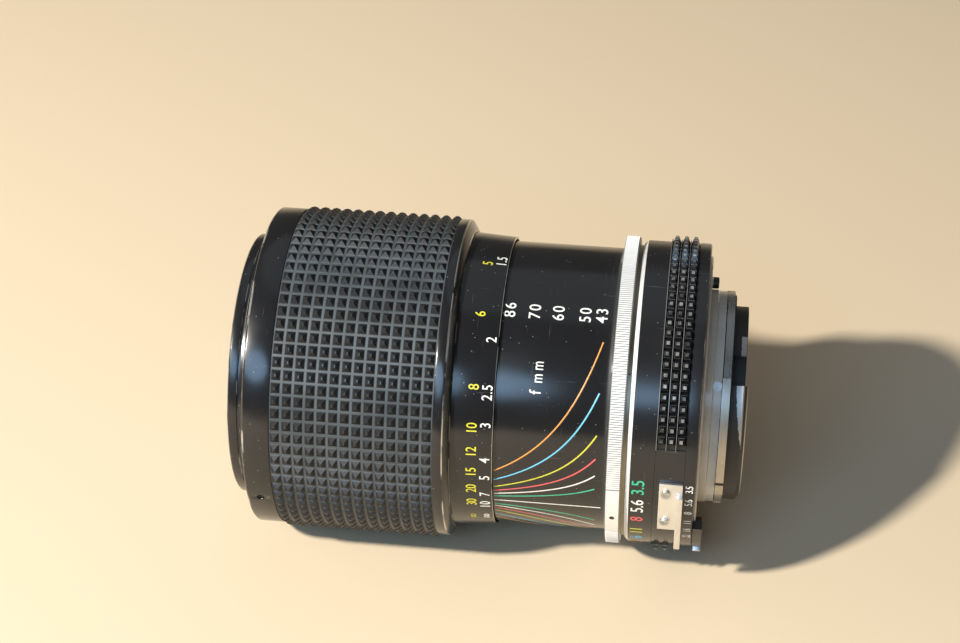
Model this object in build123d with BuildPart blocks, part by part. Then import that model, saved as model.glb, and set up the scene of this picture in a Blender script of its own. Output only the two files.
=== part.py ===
from build123d import *
from math import cos, radians, sin
import cmath
import os

# A one-touch zoom lens with a bayonet mount, lying on its side.
# +X runs along the optical axis from the front glass to the mount, +Z is up, and the
# origin is on the axis in the plane of the mount's flange.  Millimetres throughout.
# Clock angles are degrees about +X, counted from +Y towards +Z.

# ---- driving dimensions -------------------------------------------------------------
INDEX = 198.0                # clock angle of the index line and the index dot

RIM_FRONT = -94.7            # filter ring's front edge
SLEEVE_FRONT = -90.6         # zoom and focus sleeve's front edge
GRIP_FRONT = -85.05          # rubber grip
GRIP_REAR = -52.5
COLLAR_REAR = -50.5          # shoulder behind the grip
BAND_FRONT = -49.2           # distance scale band
BAND_REAR = -40.8
RING_FRONT = -18.1           # knurled ring
RING_REAR = -15.2
HOUSING_STEP = -14.4         # thin step in front of the aperture ring
APERTURE_FRONT = -14.3
APERTURE_REAR = -0.45
LUG_FRONT = 3.4              # bayonet lugs
LUG_REAR = 5.0
BAFFLE_REAR = 8.6

GRIP_R = 33.6
SLEEVE_R = 33.0
FILTER_OUTER_R = 27.15
FILTER_THREAD_R = 25.6       # minor radius of the M52 x 0.75 thread
BAND_R = 30.5
SCALE_R = 29.2               # depth of field barrel
KNURL_R = 31.85
APERTURE_R = 31.2
TOOTH_R = 32.5
SKIRT_R = 31.3
FLANGE_R = 28.8
REGISTER_R = 22.0
THROAT_R = 20.2              # inside of the bayonet tube
LUG_R = 23.3
BAFFLE_R = 21.0
BAFFLE_BORE_R = 18.0

GUIDE_R = 25.4               # inner guide tube's bore
GUIDE_WALL = 1.0
CARRIAGE_R = 26.8            # zoom carriage's bore
CARRIAGE_WALL = 1.1
RUNNING_GAP = 0.4            # between sliding tubes

BLADES = 6
IRIS_PIVOT_R = 16.3
IRIS_OPEN_R = 9.5
IRIS_BLADE_R = 14.5
BLADE_PITCH = 0.5            # along the axis, so that no blade shares a plane
BLADE_THICKNESS = 0.2
BLADE_STROKE = 28.4          # degrees from wide open to smallest stop
RING_TO_OPEN = 18.8          # degrees of the aperture ring from rest to wide open
RING_TO_CLOSED = 24.0
DRIVE_RATIO = 0.35           # drive ring's turn per turn of the aperture ring
DRIVE_LEAD = 10.5            # degrees from a blade's pivot to its drive pin
BLADE_REST = BLADE_STROKE * RING_TO_OPEN / (RING_TO_OPEN + RING_TO_CLOSED)
BLADE_START = 20.0           # clock angle of the first pivot

IRIS_WALL_FRONT = -20.5
IRIS_WALL_REAR = -19.5
DRIVE_FRONT = -25.4
DRIVE_REAR = -24.6
LEVER_ANGLE = BLADE_START + 25.0
LEVER_INNER_R = 16.4
LEVER_OUTER_R = 17.6

os.makedirs("parts", exist_ok=True)


# ---- small helpers ------------------------------------------------------------------
def outline(*points, clock=0.0):
    """Face through (distance along the axis, radius) points, at a clock angle."""
    with BuildSketch(Plane.XY.rotated((clock, 0, 0))) as profile:
        with BuildLine():
            Polyline(*points, close=True)
        make_face()
    return profile.sketch.faces()


def band(x0, x1, inner, outer, clock=0.0):
    """Rectangular section of a ring from x0 to x1 along the axis."""
    return outline((x0, inner), (x1, inner), (x1, outer), (x0, outer), clock=clock)


def glass_outline(front, rear, radius, front_sag, rear_sag):
    """Half section of an element whose two faces are parts of spheres."""
    with BuildSketch(Plane.XY) as profile:
        with BuildLine():
            TangentArc((front, 0), (front + front_sag, radius), tangent=(0, 1))
            Line((front + front_sag, radius), (rear - rear_sag, radius))
            TangentArc((rear, 0), (rear - rear_sag, radius), tangent=(0, 1))
            Line((front, 0), (rear, 0))
        make_face()
    return profile.sketch.faces()


def radial_plane(x, clock, radius):
    """Plane that faces straight out from the axis."""
    away = (0, cos(radians(clock)), sin(radians(clock)))
    return Plane(origin=(x, radius * away[1], radius * away[2]), x_dir=(1, 0, 0), z_dir=away)


def axial_plane(x, clock=0.0, radius=0.0, turn=0.0):
    """Plane that faces the mount, its own x direction at clock + turn."""
    heading = radians(clock + turn)
    origin = (x, radius * cos(radians(clock)), radius * sin(radians(clock)))
    return Plane(origin=origin, x_dir=(0, cos(heading), sin(heading)), z_dir=(1, 0, 0))


def finish(piece, name):
    """Label a finished piece and write it to its own file."""
    piece.part.label = name
    export_step(piece.part, f"parts/{name}.step")


# ---- fixed body: mount --------------------------------------------------------------
FLANGE_FRONT = -1.6
SCREW_CIRCLE_R = 25.6
SCREW_COUNT = 5
SCREW_HEAD_R = 1.6
SCREW_SHANK_R = 0.9
SCREW_DEPTH = 4.6
LUG_SPANS = [(-64.4, 67.0), (50.6, 50.0), (160.6, 36.0)]    # start from the index, sweep
LUG_STOP = (-7.4, 2.0)
TUBE_SCREW_X = 2.4
TUBE_SCREW_R = 0.95
TUBE_SCREW_CLOCKS = [INDEX - 60.6 + n * 120 for n in range(3)]
TUBE_SCREW_SEAT_R = 20.6
TUBE_SCREW_TOP_R = 21.65
TUBE_RELIEF_X = 1.5          # the tube is slimmer behind the register
TUBE_R = REGISTER_R - 0.25
TUBE_GROOVE = 0.2            # depth of the fine groove where the lugs start
POST_CLOCK = INDEX - 139
POST_CIRCLE_R = 23.35
POST_R = 1.2
POST_HEIGHT = 1.5
POST_HOLE_R = 1.25
POST_DEPTH = 1.0
CATCH_CLOCK = INDEX - 120    # notch for the body's locking pin
CATCH_CIRCLE_R = 27.0
CATCH_DEPTH = 1.2
SCREW_NECK = SCREW_HEAD_R - SCREW_SHANK_R

with BuildPart() as mount_plate:
    revolve(
        outline(
            (FLANGE_FRONT, THROAT_R),
            (LUG_REAR, THROAT_R),
            (LUG_REAR, TUBE_R),
            (LUG_FRONT + 0.1, TUBE_R),
            (LUG_FRONT + 0.1, TUBE_R - TUBE_GROOVE),
            (LUG_FRONT - 0.1, TUBE_R - TUBE_GROOVE),
            (LUG_FRONT - 0.1, TUBE_R),
            (TUBE_RELIEF_X + 0.2, TUBE_R),
            (TUBE_RELIEF_X, REGISTER_R),
            (0, REGISTER_R),
            (0, FLANGE_R - 0.3),
            (-0.3, FLANGE_R),
            (FLANGE_FRONT, FLANGE_R),
        ),
        axis=Axis.X,
    )
    for start, sweep in LUG_SPANS:
        lug = band(LUG_FRONT, LUG_REAR, THROAT_R + 0.5, LUG_R, clock=INDEX + start)
        revolve(lug, axis=Axis.X, revolution_arc=sweep)
    stop_slot = band(LUG_FRONT, LUG_REAR + 1, REGISTER_R - 0.1, LUG_R + 1, clock=INDEX + LUG_STOP[0])
    revolve(stop_slot, axis=Axis.X, revolution_arc=LUG_STOP[1], mode=Mode.SUBTRACT)
    for n in range(SCREW_COUNT):
        with Locations(axial_plane(0, INDEX + n * 360 / SCREW_COUNT + 30, SCREW_CIRCLE_R)):
            CounterSinkHole(SCREW_SHANK_R, SCREW_HEAD_R, depth=SCREW_DEPTH)
    for clock in TUBE_SCREW_CLOCKS:
        with BuildSketch(radial_plane(TUBE_SCREW_X, clock, TUBE_SCREW_SEAT_R)):
            Circle(TUBE_SCREW_R)
        extrude(amount=3, mode=Mode.SUBTRACT)
    with BuildSketch(axial_plane(0, CATCH_CLOCK, CATCH_CIRCLE_R)):
        SlotOverall(4.4, 2.6)
    extrude(amount=-CATCH_DEPTH, mode=Mode.SUBTRACT)
    with BuildSketch(axial_plane(0, POST_CLOCK, POST_CIRCLE_R)):
        Circle(POST_HOLE_R)
    extrude(amount=-POST_DEPTH, mode=Mode.SUBTRACT)
finish(mount_plate, "mount_plate")

with BuildPart() as mount_screws:
    for n in range(SCREW_COUNT):
        with BuildSketch(axial_plane(0, INDEX + n * 360 / SCREW_COUNT + 30, SCREW_CIRCLE_R)):
            Circle(SCREW_HEAD_R)
        extrude(amount=-SCREW_NECK, taper=45)
        with BuildSketch(axial_plane(-SCREW_NECK, INDEX + n * 360 / SCREW_COUNT + 30, SCREW_CIRCLE_R)):
            Circle(SCREW_SHANK_R)
        extrude(amount=-(SCREW_DEPTH - SCREW_NECK))
        with BuildSketch(axial_plane(0, INDEX + n * 360 / SCREW_COUNT + 30, SCREW_CIRCLE_R)):
            Rectangle(1.9, 0.35)
            Rectangle(0.35, 1.9)
        extrude(amount=-0.35, mode=Mode.SUBTRACT)
finish(mount_screws, "mount_screws")

with BuildPart() as tube_screws:
    for clock in TUBE_SCREW_CLOCKS:
        with BuildSketch(radial_plane(TUBE_SCREW_X, clock, TUBE_SCREW_SEAT_R)):
            Circle(TUBE_SCREW_R)
        extrude(amount=TUBE_SCREW_TOP_R - TUBE_SCREW_SEAT_R)
        with BuildSketch(radial_plane(TUBE_SCREW_X, clock, TUBE_SCREW_TOP_R)):
            Rectangle(1.2, 0.28)
            Rectangle(0.28, 1.2)
        extrude(amount=-0.3, mode=Mode.SUBTRACT)
finish(tube_screws, "tube_screws")

with BuildPart() as index_post:
    with BuildSketch(axial_plane(-POST_DEPTH, POST_CLOCK, POST_CIRCLE_R)):
        Circle(POST_R)
    extrude(amount=POST_DEPTH + POST_HEIGHT)
    chamfer(index_post.edges().sort_by(Axis.X)[-1], 0.2)
finish(index_post, "index_post")

# The baffle behind the lugs is low on top and full height lower down.
BAFFLE_LOW_R = 18.8
BAFFLE_STEP_X = 5.3
BAFFLE_TALL = (-62.0, 175.0)    # start from the index, sweep
BAFFLE_PAD = (-93.5, 13.0)
with BuildPart() as rear_baffle:
    revolve(band(LUG_REAR, BAFFLE_STEP_X, BAFFLE_BORE_R, BAFFLE_R), axis=Axis.X)
    revolve(band(BAFFLE_STEP_X, BAFFLE_REAR - 0.7, BAFFLE_BORE_R, BAFFLE_LOW_R), axis=Axis.X)
    tall = outline(
        (BAFFLE_STEP_X, BAFFLE_BORE_R),
        (BAFFLE_REAR, BAFFLE_BORE_R),
        (BAFFLE_REAR, BAFFLE_R - 1.2),
        (BAFFLE_REAR - 1.0, BAFFLE_R),
        (BAFFLE_STEP_X, BAFFLE_R),
        clock=INDEX + BAFFLE_TALL[0],
    )
    revolve(tall, axis=Axis.X, revolution_arc=BAFFLE_TALL[1])
    pad_r = BAFFLE_LOW_R + 1.0
    pad = band(BAFFLE_STEP_X, BAFFLE_REAR - 0.8, BAFFLE_BORE_R, pad_r, clock=INDEX + BAFFLE_PAD[0])
    revolve(pad, axis=Axis.X, revolution_arc=BAFFLE_PAD[1])
finish(rear_baffle, "rear_baffle")

# ---- fixed body: housing and barrel -------------------------------------------------
HOUSING_R = 27.6
HOUSING_SEAT_R = 24.0        # bore behind the iris and the relay lens
HOUSING_STEP_R = 30.1
RING_SEAT_R = 28.0
GUIDE_TUBE_REAR = -12.0
HOUSING_WALL_X = -6.0
CLICK_X = -9.0
CLICK_CLOCK = INDEX + 180
CLICK_HOLE_R = 0.85
with BuildPart() as rear_housing:
    revolve(
        outline(
            (RING_FRONT, GUIDE_R + GUIDE_WALL),
            (GUIDE_TUBE_REAR, GUIDE_R + GUIDE_WALL),
            (GUIDE_TUBE_REAR, GUIDE_R),
            (HOUSING_WALL_X, GUIDE_R),
            (HOUSING_WALL_X, HOUSING_SEAT_R),
            (FLANGE_FRONT, HOUSING_SEAT_R),
            (FLANGE_FRONT, HOUSING_R),
            (HOUSING_STEP, HOUSING_R),
            (HOUSING_STEP, HOUSING_STEP_R),
            (RING_REAR, HOUSING_STEP_R),
            (RING_REAR, RING_SEAT_R),
            (RING_FRONT, RING_SEAT_R),
        ),
        axis=Axis.X,
    )
    for n in range(SCREW_COUNT):
        with BuildSketch(axial_plane(-SCREW_NECK, INDEX + n * 360 / SCREW_COUNT + 30, SCREW_CIRCLE_R)):
            Circle(SCREW_SHANK_R)
        extrude(amount=-(SCREW_DEPTH - SCREW_NECK), mode=Mode.SUBTRACT)
    with BuildSketch(radial_plane(CLICK_X, CLICK_CLOCK, GUIDE_R - 1)):
        Circle(CLICK_HOLE_R)
    extrude(amount=4, mode=Mode.SUBTRACT)
finish(rear_housing, "rear_housing")

with BuildPart() as click_ball:
    with BuildSketch(Plane.XY):
        with Locations((CLICK_X, 0)):
            Circle(0.8)
        with Locations((CLICK_X, -1)):
            Rectangle(4, 2, mode=Mode.SUBTRACT)
    revolve(axis=Axis.X)
click_ball.part.position += radial_plane(CLICK_X, CLICK_CLOCK, 26.9).origin - Vector(CLICK_X, 0, 0)
finish(click_ball, "click_ball")

with BuildPart() as click_spring:
    with BuildSketch(radial_plane(CLICK_X, CLICK_CLOCK, GUIDE_R + 0.05)):
        Circle(0.7)
        Circle(0.45, mode=Mode.SUBTRACT)
    extrude(amount=0.7)
finish(click_spring, "click_spring")

with BuildPart() as knurled_ring:
    revolve(
        outline(
            (RING_FRONT, RING_SEAT_R),
            (RING_REAR, RING_SEAT_R),
            (RING_REAR, KNURL_R - 0.2),
            (RING_REAR - 0.2, KNURL_R),
            (RING_FRONT + 0.2, KNURL_R),
            (RING_FRONT, KNURL_R - 0.2),
        ),
        axis=Axis.X,
    )
    with BuildSketch(radial_plane((RING_FRONT + RING_REAR) / 2, INDEX, KNURL_R + 1)):
        Circle(0.55)
    extrude(amount=-1.4, mode=Mode.SUBTRACT)
finish(knurled_ring, "knurled_ring")

SCALE_BARREL_FRONT = -58.5
SCALE_BARREL_END = RING_FRONT - 1.2    # inner face of its end wall
with BuildPart() as depth_scale_barrel:
    revolve(
        outline(
            (SCALE_BARREL_FRONT, SCALE_R - 1.0),
            (SCALE_BARREL_END, SCALE_R - 1.0),
            (SCALE_BARREL_END, GUIDE_R + GUIDE_WALL),
            (RING_FRONT, GUIDE_R + GUIDE_WALL),
            (RING_FRONT, SCALE_R),
            (SCALE_BARREL_FRONT, SCALE_R),
        ),
        axis=Axis.X,
    )
finish(depth_scale_barrel, "depth_scale_barrel")

# ---- fixed body: guide tube ---------------------------------------------------------
ZOOM_TRAVEL = 18.2
VARIATOR_SHARE = 0.45        # variator's travel per millimetre of the carriage
ROLLER_X = -52.0
ROLLER_R = 1.4
ROLLER_CLOCK = 90.0
PIN_X = -42.0
PIN_R = 0.9
PIN_CLOCK = 30.0
SLOT_GAP = 0.06              # each side of a roller or a pin
GUIDE_FRONT = -56.0
with BuildPart() as guide_tube:
    revolve(band(GUIDE_FRONT, GUIDE_TUBE_REAR, GUIDE_R, GUIDE_R + GUIDE_WALL), axis=Axis.X)
    for n in range(3):
        middle = ROLLER_X + ZOOM_TRAVEL / 2
        with BuildSketch(radial_plane(middle, ROLLER_CLOCK + n * 120, GUIDE_R - 2)):
            SlotCenterToCenter(ZOOM_TRAVEL + 0.4, 2 * (ROLLER_R + SLOT_GAP))
        extrude(amount=5, mode=Mode.SUBTRACT)
        middle = PIN_X + ZOOM_TRAVEL * VARIATOR_SHARE / 2
        with BuildSketch(radial_plane(middle, PIN_CLOCK + n * 120, GUIDE_R - 2)):
            SlotCenterToCenter(ZOOM_TRAVEL * VARIATOR_SHARE + 0.4, 2 * (PIN_R + SLOT_GAP))
        extrude(amount=5, mode=Mode.SUBTRACT)
finish(guide_tube, "guide_tube")

# ---- fixed body: iris ---------------------------------------------------------------
COVER_FRONT = -26.5
COVER_REAR = -25.7
PIVOT_HOLE_R = 0.55
PIVOT_PIN_R = 0.5
DRIVE_PIN_R = 0.4
SLOT_HALF_WIDTH = 0.46
IRIS_APERTURE_R = 10.2
IRIS_ROOM_R = 19.6
LEVER_SLOT_INNER_R = 16.0
LEVER_SLOT_OUTER_R = 18.0
LEVER_HALF_ANGLE = 3.5
LEVER_SLOT_START = LEVER_ANGLE - DRIVE_RATIO * RING_TO_CLOSED - LEVER_HALF_ANGLE - 1.5
LEVER_SLOT_SWEEP = DRIVE_RATIO * (RING_TO_CLOSED + RING_TO_OPEN) + 2 * LEVER_HALF_ANGLE + 3.0

with BuildPart() as iris_housing:
    revolve(
        outline(
            (COVER_REAR, IRIS_ROOM_R),
            (IRIS_WALL_FRONT, IRIS_ROOM_R),
            (IRIS_WALL_FRONT, IRIS_APERTURE_R),
            (IRIS_WALL_REAR, IRIS_APERTURE_R),
            (IRIS_WALL_REAR, GUIDE_R),
            (COVER_REAR, GUIDE_R),
        ),
        axis=Axis.X,
    )
    for n in range(BLADES):
        with BuildSketch(axial_plane(IRIS_WALL_FRONT - 0.5, BLADE_START + n * 360 / BLADES, IRIS_PIVOT_R)):
            Circle(PIVOT_HOLE_R)
        extrude(amount=2, mode=Mode.SUBTRACT)
    lever_slot = band(
        IRIS_WALL_FRONT - 0.5,
        IRIS_WALL_REAR + 0.5,
        LEVER_SLOT_INNER_R,
        LEVER_SLOT_OUTER_R,
        clock=LEVER_SLOT_START,
    )
    revolve(lever_slot, axis=Axis.X, revolution_arc=LEVER_SLOT_SWEEP, mode=Mode.SUBTRACT)
finish(iris_housing, "iris_housing")

with BuildPart() as iris_cover:
    revolve(band(COVER_FRONT, COVER_REAR, IRIS_APERTURE_R, GUIDE_R), axis=Axis.X)
finish(iris_cover, "iris_cover")


def drive_pin_at(ring_turn):
    """Drive pin's centre, seen from the drive ring, when the aperture ring has turned."""
    blade = radians(BLADE_STROKE * (RING_TO_OPEN - ring_turn) / (RING_TO_OPEN + RING_TO_CLOSED))
    arm = IRIS_PIVOT_R * (cmath.exp(-1j * radians(DRIVE_LEAD)) - 1)
    centre = (IRIS_PIVOT_R + arm * cmath.exp(1j * blade)) * cmath.exp(-1j * radians(DRIVE_RATIO * ring_turn))
    return (centre.real, centre.imag)


with BuildPart() as iris_drive_ring:
    revolve(band(DRIVE_FRONT, DRIVE_REAR, 15.0, 19.3), axis=Axis.X)
    for n in range(BLADES):
        with BuildSketch(axial_plane(DRIVE_FRONT - 0.5, BLADE_START + n * 360 / BLADES)):
            with BuildLine() as cam_line:
                ThreePointArc(
                    drive_pin_at(RING_TO_OPEN),
                    drive_pin_at((RING_TO_OPEN - RING_TO_CLOSED) / 2),
                    drive_pin_at(-RING_TO_CLOSED),
                )
            SlotArc(cam_line.edge(), 2 * SLOT_HALF_WIDTH)
        extrude(amount=2, mode=Mode.SUBTRACT)
finish(iris_drive_ring, "iris_drive_ring")

LEVER_TIP = 7.2
FIRST_BLADE_REAR = -20.85
BLADE_EYE_R = 1.3            # round the pivot
PIVOT_PIN_END = -19.7
DRIVE_PIN_END = -25.2
with BuildPart() as stop_down_lever:
    bar = band(DRIVE_REAR, LEVER_TIP, LEVER_INNER_R, LEVER_OUTER_R, clock=LEVER_ANGLE - LEVER_HALF_ANGLE)
    revolve(bar, axis=Axis.X, revolution_arc=2 * LEVER_HALF_ANGLE)
finish(stop_down_lever, "stop_down_lever")

for n in range(BLADES):
    clock = BLADE_START + n * 360 / BLADES
    rear = FIRST_BLADE_REAR - n * BLADE_PITCH
    front = rear - BLADE_THICKNESS
    drive_x = IRIS_PIVOT_R * (cos(radians(DRIVE_LEAD)) - 1)
    drive_y = -IRIS_PIVOT_R * sin(radians(DRIVE_LEAD))
    with BuildPart() as iris_blade:
        with BuildSketch(axial_plane(front, clock, IRIS_PIVOT_R, turn=BLADE_REST)):
            with BuildLine():
                blade_edge = CenterArc((-IRIS_PIVOT_R, 0), IRIS_BLADE_R, -4, 144)
                blade_inner = CenterArc((-IRIS_PIVOT_R, 0), IRIS_OPEN_R, -4, 144)
                Line(blade_edge @ 0, blade_inner @ 0)
                Line(blade_edge @ 1, blade_inner @ 1)
            make_face()
            Circle(BLADE_EYE_R)
            with Locations((-2.2, 0)):
                Rectangle(4.4, 2 * BLADE_EYE_R)
            with Locations((drive_x, drive_y)):
                Circle(0.85)
            with Locations((drive_x / 2, drive_y / 2)):
                Rectangle(1.5, -drive_y)
        extrude(amount=BLADE_THICKNESS)
        with BuildSketch(axial_plane(rear, clock, IRIS_PIVOT_R)):
            Circle(PIVOT_PIN_R)
        extrude(amount=PIVOT_PIN_END - rear)
        with BuildSketch(axial_plane(front, clock, IRIS_PIVOT_R, turn=BLADE_REST)):
            with Locations((drive_x, drive_y)):
                Circle(DRIVE_PIN_R)
        extrude(amount=DRIVE_PIN_END - front)
    finish(iris_blade, f"iris_blade_{n + 1}")

# ---- fixed body: relay lens ---------------------------------------------------------
RELAY_R = 14.2
RELAY_REAR = 0.8
RELAY_WALL = 1.2
with BuildPart() as relay_cell:
    revolve(
        outline(
            (IRIS_WALL_REAR, RELAY_R),
            (RELAY_REAR, RELAY_R),
            (RELAY_REAR, RELAY_R + RELAY_WALL),
            (IRIS_WALL_REAR + 1.0, RELAY_R + RELAY_WALL + 0.2),
            (IRIS_WALL_REAR + 1.0, GUIDE_R),
            (IRIS_WALL_REAR, GUIDE_R),
        ),
        axis=Axis.X,
    )
    lever_slot = band(
        IRIS_WALL_REAR - 0.5,
        IRIS_WALL_REAR + 1.5,
        LEVER_SLOT_INNER_R,
        LEVER_SLOT_OUTER_R,
        clock=LEVER_SLOT_START,
    )
    revolve(lever_slot, axis=Axis.X, revolution_arc=LEVER_SLOT_SWEEP, mode=Mode.SUBTRACT)
finish(relay_cell, "relay_cell")

# name, front vertex, rear vertex, radius, front sag, rear sag
RELAY_GLASS = [
    ("relay_element_1", -18.2, -14.4, RELAY_R, 1.0, 0.8),
    ("relay_element_2", -13.2, -11.8, RELAY_R, -0.9, -0.8),
    ("relay_element_3", -9.8, -6.2, RELAY_R, 0.5, 1.1),
    ("rear_element", -5.4, -1.8, RELAY_R, 0.9, 0.7),
]
for name, front, rear, radius, front_sag, rear_sag in RELAY_GLASS:
    with BuildPart() as element:
        revolve(glass_outline(front, rear, radius, front_sag, rear_sag), axis=Axis.X)
    finish(element, name)

with BuildPart() as relay_retainer:
    revolve(outline((-1.6, 12.6), (-2.5, RELAY_R), (0.4, RELAY_R), (0.4, 13.0)), axis=Axis.X)
finish(relay_retainer, "relay_retainer")

# ---- zoom carriage ------------------------------------------------------------------
CARRIAGE_FRONT = -86.0
CARRIAGE_REAR = -48.0
RIB_FRONT = -84.0            # rib that carries the sleeve
RIB_REAR = -82.0
RIB_R = 30.9
with BuildPart() as carriage_tube:
    revolve(
        outline(
            (CARRIAGE_FRONT, CARRIAGE_R),
            (CARRIAGE_REAR, CARRIAGE_R),
            (CARRIAGE_REAR, CARRIAGE_R + CARRIAGE_WALL),
            (RIB_REAR, CARRIAGE_R + CARRIAGE_WALL),
            (RIB_REAR, RIB_R),
            (RIB_FRONT, RIB_R),
            (RIB_FRONT, CARRIAGE_R + CARRIAGE_WALL),
            (CARRIAGE_FRONT, CARRIAGE_R + CARRIAGE_WALL),
        ),
        axis=Axis.X,
    )
    for n in range(3):
        with BuildSketch(radial_plane(ROLLER_X, ROLLER_CLOCK + n * 120, CARRIAGE_R - 1)):
            Circle(ROLLER_R)
        extrude(amount=3, mode=Mode.SUBTRACT)
finish(carriage_tube, "carriage_tube")

with BuildPart() as guide_rollers:
    for n in range(3):
        with BuildSketch(radial_plane(ROLLER_X, ROLLER_CLOCK + n * 120, GUIDE_R + 0.1)):
            Circle(ROLLER_R)
        extrude(amount=CARRIAGE_R + CARRIAGE_WALL - 0.2 - GUIDE_R)
finish(guide_rollers, "guide_rollers")

# ---- variator -----------------------------------------------------------------------
VARIATOR_R = GUIDE_R - RUNNING_GAP
VARIATOR_GLASS_R = 17.0
VARIATOR_FRONT = -46.0
VARIATOR_REAR = -38.0
VARIATOR_END_R = 20.0
with BuildPart() as variator_cell:
    revolve(
        outline(
            (VARIATOR_FRONT, VARIATOR_GLASS_R),
            (VARIATOR_REAR, VARIATOR_GLASS_R),
            (VARIATOR_REAR, VARIATOR_END_R),
            (VARIATOR_REAR - 1.5, VARIATOR_R),
            (VARIATOR_FRONT + 1.5, VARIATOR_R),
            (VARIATOR_FRONT, VARIATOR_END_R),
        ),
        axis=Axis.X,
    )
    for n in range(3):
        with BuildSketch(radial_plane(PIN_X, PIN_CLOCK + n * 120, 22)):
            Circle(PIN_R)
        extrude(amount=4, mode=Mode.SUBTRACT)
finish(variator_cell, "variator_cell")

with BuildPart() as variator_pins:
    for n in range(3):
        with BuildSketch(radial_plane(PIN_X, PIN_CLOCK + n * 120, 22)):
            Circle(PIN_R)
        extrude(amount=4.2)
finish(variator_pins, "variator_pins")

VARIATOR_GLASS = [
    ("variator_element_1", -45.4, -43.2, VARIATOR_GLASS_R, 0.9, -0.7),
    ("variator_element_2", -41.2, -39.4, VARIATOR_GLASS_R, -0.7, -0.4),
]
for name, front, rear, radius, front_sag, rear_sag in VARIATOR_GLASS:
    with BuildPart() as element:
        revolve(glass_outline(front, rear, radius, front_sag, rear_sag), axis=Axis.X)
    finish(element, name)

with BuildPart() as variator_retainer:
    revolve(band(-38.9, -38.1, 15.6, VARIATOR_GLASS_R), axis=Axis.X)
finish(variator_retainer, "variator_retainer")

# ---- zoom and focus sleeve ----------------------------------------------------------
SLEEVE_BORE_R = 31.2
GRIP_SEAT_R = 32.2
SET_SCREW_X = -87.7
SET_SCREW_R = 0.8
SET_SCREW_COUNT = 2          # the second is opposite the index
BAND_JOIN = -51.5
BAND_SEAT_FRONT = -58.0      # front end of the distance ring, under the sleeve
NOSE_REAR = -88.8            # rear of the narrow bore round the filter ring
SHOULDER_X = -84.3
SHOULDER_R = 28.3
COLLAR_R = 30.9              # foot of the collar's slope
with BuildPart() as grip_sleeve:
    revolve(
        outline(
            (SLEEVE_FRONT, FILTER_OUTER_R + 0.35),
            (NOSE_REAR, FILTER_OUTER_R + 0.35),
            (NOSE_REAR, SHOULDER_R),
            (SHOULDER_X, SHOULDER_R),
            (SHOULDER_X, SLEEVE_BORE_R),
            (BAND_JOIN, SLEEVE_BORE_R),
            (BAND_JOIN, BAND_R),
            (BAND_FRONT, BAND_R),
            (BAND_FRONT, COLLAR_R),
            (COLLAR_REAR, SLEEVE_R),
            (GRIP_REAR, SLEEVE_R),
            (GRIP_REAR, GRIP_SEAT_R),
            (GRIP_FRONT, GRIP_SEAT_R),
            (GRIP_FRONT, SLEEVE_R),
            (SLEEVE_FRONT + 0.4, SLEEVE_R),
            (SLEEVE_FRONT, SLEEVE_R - 0.4),
        ),
        axis=Axis.X,
    )
    for n in range(SET_SCREW_COUNT):
        with BuildSketch(radial_plane(SET_SCREW_X, INDEX + n * 180, 30)):
            Circle(SET_SCREW_R)
        extrude(amount=4, mode=Mode.SUBTRACT)
finish(grip_sleeve, "grip_sleeve")

with BuildPart() as sleeve_screws:
    for n in range(SET_SCREW_COUNT):
        with BuildSketch(radial_plane(SET_SCREW_X, INDEX + n * 180, 30)):
            Circle(SET_SCREW_R)
        extrude(amount=2.6)
        with BuildSketch(radial_plane(SET_SCREW_X, INDEX + n * 180, 32.6)):
            Rectangle(1.3, 0.3)
        extrude(amount=-0.4, mode=Mode.SUBTRACT)
finish(sleeve_screws, "sleeve_screws")

with BuildPart() as rubber_grip:
    revolve(band(GRIP_FRONT, GRIP_REAR, GRIP_SEAT_R, GRIP_R), axis=Axis.X)
finish(rubber_grip, "rubber_grip")

with BuildPart() as distance_ring:
    revolve(
        outline(
            (BAND_SEAT_FRONT, SCALE_R + RUNNING_GAP),
            (BAND_REAR, SCALE_R + RUNNING_GAP),
            (BAND_REAR, BAND_R - 0.5),
            (BAND_FRONT, BAND_R),
            (BAND_JOIN, BAND_R),
            (BAND_JOIN, SLEEVE_BORE_R),
            (BAND_SEAT_FRONT, SLEEVE_BORE_R),
        ),
        axis=Axis.X,
    )
finish(distance_ring, "distance_ring")

with BuildPart() as bearing_retainer:
    revolve(band(RIB_REAR + 0.3, RIB_REAR + 1.3, SHOULDER_R, SLEEVE_BORE_R), axis=Axis.X)
finish(bearing_retainer, "bearing_retainer")

# ---- front group --------------------------------------------------------------------
CELL_R = 26.3
CELL_FRONT = -90.2
CELL_REAR = -76.0
FRONT_GLASS_R = 23.6
RIM_REAR = -88.5
THREAD_END = -91.2
THREAD_RELIEF_R = 25.9       # groove behind the thread, in front of the cell
RIM_GROOVE = (-92.7, -92.1)  # grip groove round the filter ring
RIM_GROOVE_DEPTH = 0.25
NAME_RING_BORE_R = 21.9
NAME_RING_R = 25.55
with BuildPart() as filter_ring:
    revolve(
        outline(
            (RIM_FRONT, FILTER_THREAD_R + 0.3),
            (RIM_FRONT + 0.3, FILTER_THREAD_R),
            (THREAD_END, FILTER_THREAD_R),
            (THREAD_END, THREAD_RELIEF_R),
            (CELL_FRONT, THREAD_RELIEF_R),
            (CELL_FRONT, CELL_R),
            (RIM_REAR, CELL_R),
            (RIM_REAR, FILTER_OUTER_R),
            (RIM_GROOVE[1], FILTER_OUTER_R),
            (RIM_GROOVE[1], FILTER_OUTER_R - RIM_GROOVE_DEPTH),
            (RIM_GROOVE[0], FILTER_OUTER_R - RIM_GROOVE_DEPTH),
            (RIM_GROOVE[0], FILTER_OUTER_R),
            (RIM_FRONT + 0.4, FILTER_OUTER_R),
            (RIM_FRONT, FILTER_OUTER_R - 0.3),
        ),
        axis=Axis.X,
    )
finish(filter_ring, "filter_ring")

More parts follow.
